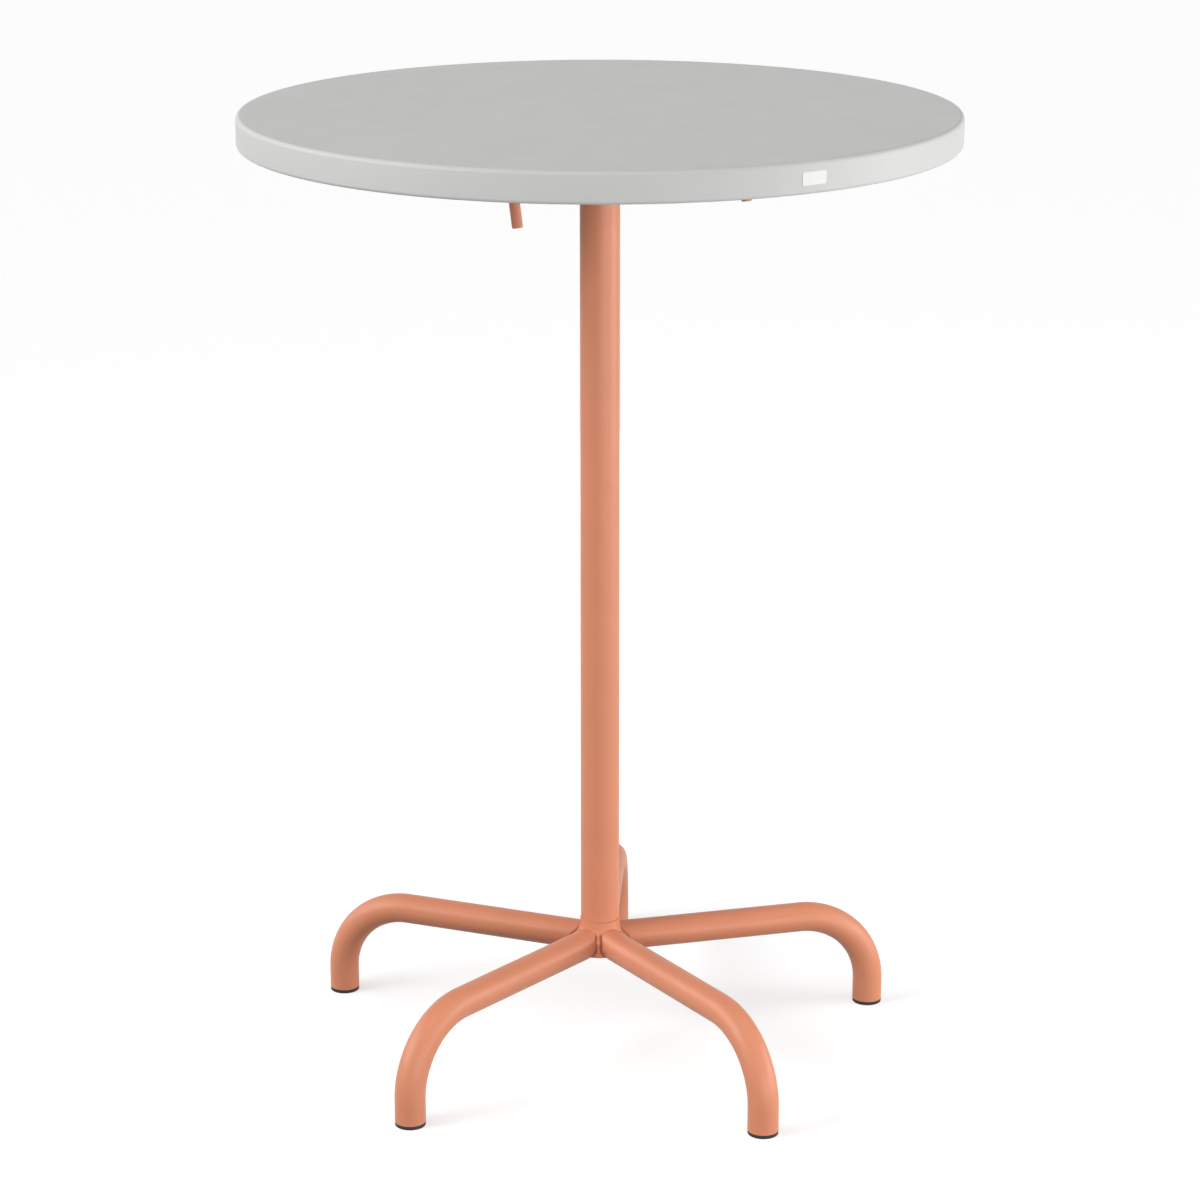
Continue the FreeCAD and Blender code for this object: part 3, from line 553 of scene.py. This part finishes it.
def add_welds():
    """Beads on the tilting bracket and on the column's head."""
    down = Vector((0, 0, -1))
    up = Vector((0, 0, 1))
    plate_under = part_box("mounting_plate")[0].z
    head_under, head_top = (corner.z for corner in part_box("head_plate"))
    bracket = bmesh.new()
    head = bmesh.new()
    for side, name in ((-1, "left"), (1, "right")):
        outward = Vector((side, 0, 0))
        cheek_outer = max(abs(corner.x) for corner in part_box(f"cheek_{name}"))
        ear_inner = min(abs(corner.x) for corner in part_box(f"head_ear_{name}"))
        add_stitches(bracket, side * cheek_outer, plate_under, outward, down, CHEEK_STITCHES)
        add_stitches(head, side * ear_inner, head_top, -outward, up, EAR_STITCHES)
    add_round_bead(head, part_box("column_tube")[1].x, head_under, down)
    for name, mesh, body in (("bracket_welds", bracket, "top"), ("head_welds", head, "base")):
        new_piece(name, mesh, finishes["powder_coat"], body)


def hub_radius_at(height):
    """Radius of the hub's outside at a height, on its body, its conical shoulder or its neck."""
    radius = 0
    for place in spread(height - HUB_ROUNDING, height + HUB_ROUNDING, HUB_SAMPLES):
        share = limited((place - HUB_SHOULDER) / (HUB_NECK_FOOT - HUB_SHOULDER))
        radius += (HUB_RADIUS + (HUB_NECK_RADIUS - HUB_RADIUS) * share) / HUB_SAMPLES
    return radius


def grooved_radius(angle, height):
    """Radius of the hub, which is set back between the legs and has a groove beside each leg's end."""
    radius = hub_radius_at(height)
    pitch = 2 * math.pi / LEG_COUNT
    turn = (angle + math.pi / 2 + pitch / 2) % pitch - pitch / 2
    off = math.hypot(radius * math.sin(turn), height - LEG_HEIGHT) - LEG_RADIUS
    beside = limited(off / GROOVE_EDGE + 1)
    groove = limited((GROOVE_WIDTH - off) / GROOVE_EDGE)
    fade = limited(min(GROOVE_TOP - height, height - GROOVE_FOOT) / GROOVE_FADE)
    return radius - (BETWEEN_DEPTH + GROOVE_DEPTH * groove) * beside * fade


def add_hub():
    """The hub with grooves beside the ends of the legs and a fine seam under the column."""
    low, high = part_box("base_hub")
    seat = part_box("column_tube")[0].z
    top = HUB_NECK_FOOT + HUB_ROUNDING
    rings = []
    for height in (low.z + HUB_RECESS_DEPTH, low.z):
        rings.append(round_ring(height, HUB_RECESS_RADIUS, HUB_SIDES))
    for height in spread(low.z, top, round((top - low.z) / HUB_STEP)):
        rings.append(ring(height, lambda angle: grooved_radius(angle, height), HUB_SIDES))
    rings.append(round_ring(seat - SEAM_HEIGHT, HUB_NECK_RADIUS, HUB_SIDES))
    rings.append(round_ring(seat, SEAM_RADIUS, HUB_SIDES))
    for height in (seat, high.z):
        rings.append(round_ring(height, SPIGOT_RADIUS, HUB_SIDES))
    mesh = bmesh.new()
    add_skin(mesh, rings)
    piece = new_piece("grooved_hub", mesh, finishes["powder_coat"], "base")
    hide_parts("base_hub")


def rim_profile():
    """Radius and height of each row of points from the flat of the top down to the foot of the rim."""
    rows = []
    for turn in quarter_turn(TOP_ROUND_ROWS)[1:]:
        inward = TOP_ROUND * (1 - math.sin(turn))
        rows.append((TOP_RADIUS - inward, TOP_HEIGHT - TOP_ROUND * (1 - math.cos(turn))))
    for turn in quarter_turn(RIM_ROUND_ROWS)[:-1]:
        inward = RIM_ROUND * (1 - math.cos(turn))
        rows.append((TOP_RADIUS - inward, RIM_FOOT + RIM_ROUND * (1 - math.sin(turn))))
    return rows


def on_rim(point):
    """Whether a point is on the rounded outside of the top or past it."""
    edge = TOP_ROUND if point.z > TOP_HEIGHT - TOP_ROUND - CLOSE else RIM_ROUND
    return point.xy.length > TOP_RADIUS - edge - CLOSE


def is_rim_face(face):
    """Whether a face belongs to the rim and not to the flat of the top."""
    flat = all(vert.co.z > TOP_HEIGHT - CLOSE for vert in face.verts)
    return not flat and all(on_rim(vert.co) for vert in face.verts)


def keep_level_faces_flat(data):
    """Mark the edges between level faces and others as sharp, so that smooth shading stops there."""
    sides = {}
    for face in data.polygons:
        level = abs(face.normal.z) > LEVEL
        for corner in face.loop_indices:
            sides.setdefault(data.loops[corner].edge_index, set()).add(level)
    for index, kinds in sides.items():
        if len(kinds) == 2:
            data.edges[index].use_edge_sharp = True


def add_top():
    """The top with even rows of faces round its rim, so that its outline is smooth from every side."""
    mesh = cad_copy("table_top")
    bmesh.ops.delete(mesh, geom=[face for face in mesh.faces if is_rim_face(face)], context="FACES")
    ends = {vert for edge in mesh.edges if edge.is_boundary for vert in edge.verts if on_rim(vert.co)}
    ends = sorted(ends, key=lambda vert: math.atan2(vert.co.y, vert.co.x))
    upper = [vert for vert in ends if vert.co.z > TOP_HEIGHT - CLOSE]
    lower = [vert for vert in ends if vert.co.z < RIM_FOOT + CLOSE]
    rows = [upper]
    for radius, height in rim_profile():
        flat = [vert.co.xy.normalized() * radius for vert in upper]
        rows.append([mesh.verts.new((place.x, place.y, height)) for place in flat])
    rows.append(lower)
    for near, far in zip(rows, rows[1:]):
        add_rows(mesh, near, far)
    piece = new_piece("smooth_top", mesh, finishes["top_shell"], "top")
    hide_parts("table_top")
    keep_level_faces_flat(piece.data)


def add_rim_plate():
    """A bare white plate on the front of the rim, bent to its curve."""
    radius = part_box("table_top")[1].x
    straight = PLATE_HALF_WIDTH - PLATE_CORNER
    bend = [straight + PLATE_CORNER * math.sin(turn) for turn in quarter_turn(ROUND_ROWS)]
    places = [-place for place in reversed(bend)] + spread(-straight, straight, PLATE_ROWS)[1:-1] + bend
    rings = []
    for along in places:
        to_end = PLATE_HALF_WIDTH - abs(along)
        inset = max(PLATE_CORNER - to_end, 0)
        half = PLATE_HALF_HEIGHT - PLATE_CORNER + math.sqrt(PLATE_CORNER ** 2 - inset ** 2)
        front = PLATE_PROUD - max(PLATE_BEVEL - to_end, 0)
        section = [(-half, -PLATE_PROUD), (-half, front - PLATE_BEVEL), (PLATE_BEVEL - half, front)]
        section += [(-height, proud) for height, proud in reversed(section)]
        outward = Vector((math.sin(along / radius), -math.cos(along / radius), 0))
        points = [(outward * (radius + proud), PLATE_HEIGHT + height) for height, proud in section]
        rings.append([Vector((flat.x, flat.y, height)) for flat, height in points])
    mesh = bmesh.new()
    add_skin(mesh, rings)
    new_piece("rim_plate", mesh, plate_film(), "top")


def add_spring():
    """The leaf spring, cut above the bend of its foot into a foot and a leaf that has a mesh of its own."""
    bend = Vector((0, SPRING_UPRIGHT, SPRING_BEND))
    for name, above in (("spring_foot", False), ("spring_leaf", True)):
        mesh = cad_copy("spring_catch")
        whole = [*mesh.verts, *mesh.edges, *mesh.faces]
        cut = bmesh.ops.bisect_plane(
            mesh, geom=whole, plane_co=bend, plane_no=(0, 0, 1), clear_inner=above, clear_outer=not above)
        rim = [item for item in cut["geom_cut"] if isinstance(item, bmesh.types.BMEdge)]
        bmesh.ops.contextual_create(mesh, geom=rim)
        piece = new_piece(name, mesh, finishes["spring_steel"], "base")
        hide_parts("spring_catch")
        if above:
            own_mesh(piece)


add_screws("mounting_screw_set", "mounting_screws", MOUNTING_SCREW, columns=2, rows=3, up=False, body="top")
add_screws("catch_screw_set", "catch_screws", CATCH_SCREW, columns=2, rows=1, up=True, body="base")
add_pivot_bolt()
add_welds()
add_hub()
add_top()
add_rim_plate()
add_spring()


def hang_lamp(name, lamp, source):
    """Put a lamp in the scene, turned so that its light comes from a direction."""
    holder = bpy.data.objects.new(name, lamp)
    bpy.context.scene.collection.objects.link(holder)
    holder.rotation_euler = source.to_track_quat("Z", "Y").to_euler()
    return holder


def add_sun(name, bearing, elevation, strength, softness):
    """A wide soft lamp from a bearing, in degrees right of the camera as the camera sees it."""
    lamp = bpy.data.lights.new(name, "SUN")
    lamp.energy = strength
    lamp.angle = math.radians(softness)
    turn = math.radians(CAMERA_HEADING + bearing)
    rise = math.radians(elevation)
    level = math.cos(rise)
    hang_lamp(name, lamp, Vector((math.sin(turn) * level, -math.cos(turn) * level, math.sin(rise))))


def add_softbox(name, bearing, away, height, aim, width, tall, power, glossy=True):
    """A wide lamp that faces the column at the height of its aim, and that the camera doesn't see."""
    lamp = bpy.data.lights.new(name, "AREA")
    lamp.shape = "RECTANGLE"
    lamp.size = width
    lamp.size_y = tall
    lamp.energy = power
    turn = math.radians(CAMERA_HEADING + bearing)
    place = Vector((math.sin(turn) * away, -math.cos(turn) * away, height))
    holder = hang_lamp(name, lamp, place - Vector((0, 0, aim)))
    holder.location = place
    holder.visible_camera = False
    holder.visible_glossy = glossy


def cleared_tree(holder):
    """The empty node tree of a world or a material."""
    holder.use_nodes = True
    holder.node_tree.nodes.clear()
    return holder.node_tree


def add_world(strength):
    """Even light all round, seen as plain white by the camera and in gloss."""
    world = bpy.data.worlds.new("studio")
    bpy.context.scene.world = world
    tree = cleared_tree(world)
    path = tree.nodes.new("ShaderNodeLightPath")
    seen = tree.nodes.new("ShaderNodeMath")
    seen.operation = "MAXIMUM"
    shown = tree.nodes.new("ShaderNodeMath")
    shown.operation = "MAXIMUM"
    tree.links.new(path.outputs["Is Camera Ray"], seen.inputs[0])
    tree.links.new(path.outputs["Is Glossy Ray"], seen.inputs[1])
    tree.links.new(seen.outputs["Value"], shown.inputs[0])
    tree.links.new(path.outputs["Is Transmission Ray"], shown.inputs[1])
    level = tree.nodes.new("ShaderNodeMapRange")
    level.inputs["To Min"].default_value = strength
    level.inputs["To Max"].default_value = 1
    tree.links.new(shown.outputs["Value"], level.inputs["Value"])
    light = tree.nodes.new("ShaderNodeBackground")
    light.inputs["Color"].default_value = (1, 1, 1, 1)
    tree.links.new(level.outputs["Result"], light.inputs["Strength"])
    output = tree.nodes.new("ShaderNodeOutputWorld")
    tree.links.new(light.outputs["Background"], output.inputs["Surface"])


def add_floor(half, seen_grey, bounce_grey, glow):
    """A plain pale floor, made white by a glow where no shadow falls, and clear from below."""
    corners = [(-half, -half, 0), (half, -half, 0), (half, half, 0), (-half, half, 0)]
    mesh = bpy.data.meshes.new("floor")
    mesh.from_pydata(corners, [], [(0, 1, 2, 3)])
    floor = bpy.data.objects.new("floor", mesh)
    bpy.context.scene.collection.objects.link(floor)
    material = bpy.data.materials.new("floor")
    tree = cleared_tree(material)
    path = tree.nodes.new("ShaderNodeLightPath")
    bounced = tree.nodes.new("ShaderNodeBsdfDiffuse")
    bounced.inputs["Color"].default_value = (*[bounce_grey] * 3, 1)
    seen = tree.nodes.new("ShaderNodeBsdfDiffuse")
    seen.inputs["Color"].default_value = (*[seen_grey] * 3, 1)
    light = tree.nodes.new("ShaderNodeEmission")
    light.inputs["Strength"].default_value = glow
    bright = tree.nodes.new("ShaderNodeAddShader")
    mix = tree.nodes.new("ShaderNodeMixShader")
    side = tree.nodes.new("ShaderNodeNewGeometry")
    clear = tree.nodes.new("ShaderNodeBsdfTransparent")
    one_sided = tree.nodes.new("ShaderNodeMixShader")
    output = tree.nodes.new("ShaderNodeOutputMaterial")
    tree.links.new(path.outputs["Is Diffuse Ray"], mix.inputs["Fac"])
    tree.links.new(seen.outputs["BSDF"], bright.inputs[0])
    tree.links.new(light.outputs["Emission"], bright.inputs[1])
    tree.links.new(bright.outputs["Shader"], mix.inputs[1])
    tree.links.new(bounced.outputs["BSDF"], mix.inputs[2])
    tree.links.new(side.outputs["Backfacing"], one_sided.inputs["Fac"])
    tree.links.new(mix.outputs["Shader"], one_sided.inputs[1])
    tree.links.new(clear.outputs["BSDF"], one_sided.inputs[2])
    tree.links.new(one_sided.outputs["Shader"], output.inputs["Surface"])
    mesh.materials.append(material)


def add_camera():
    """The camera that sees the table as the photograph does."""
    data = bpy.data.cameras.new("camera")
    data.sensor_width = CAMERA_SENSOR
    data.lens = CAMERA_LENS
    data.clip_end = CAMERA_REACH
    camera = bpy.data.objects.new("camera", data)
    bpy.context.scene.collection.objects.link(camera)
    camera.location = CAMERA_PLACE
    camera.rotation_euler = (math.radians(90 - CAMERA_PITCH), 0, math.radians(CAMERA_HEADING))
    bpy.context.scene.camera = camera


add_world(strength=0.1)
add_softbox("right_box", bearing=90, away=3, height=0.9, aim=0.6, width=1.5, tall=1.5, power=43)
add_softbox("right_low_box", bearing=65, away=3, height=0.45, aim=0.5, width=2.0, tall=0.9, power=25)
add_softbox("front_right_box", bearing=25, away=3, height=0.45, aim=0.5, width=2.0, tall=0.9, power=35)
add_softbox("left_high_box", bearing=-60, away=2.2, height=1.5, aim=1.0, width=1.0, tall=0.6, power=14)
add_softbox("rear_box", bearing=180, away=3, height=0.6, aim=0.8, width=2.0, tall=0.8, power=18, glossy=False)
add_sun("left_light", bearing=-75, elevation=30, strength=1.50, softness=30)
add_sun("left_rear_light", bearing=-110, elevation=25, strength=0.83, softness=30)
add_sun("front_light", bearing=0, elevation=10, strength=0.44, softness=40)
add_sun("top_light", bearing=0, elevation=80, strength=0.76, softness=40)
add_sun("right_light", bearing=75, elevation=30, strength=0.20, softness=40)
add_floor(half=40, seen_grey=0.55, bounce_grey=0.12, glow=0.56)
add_camera()
bpy.context.scene.view_settings.view_transform = "Standard"
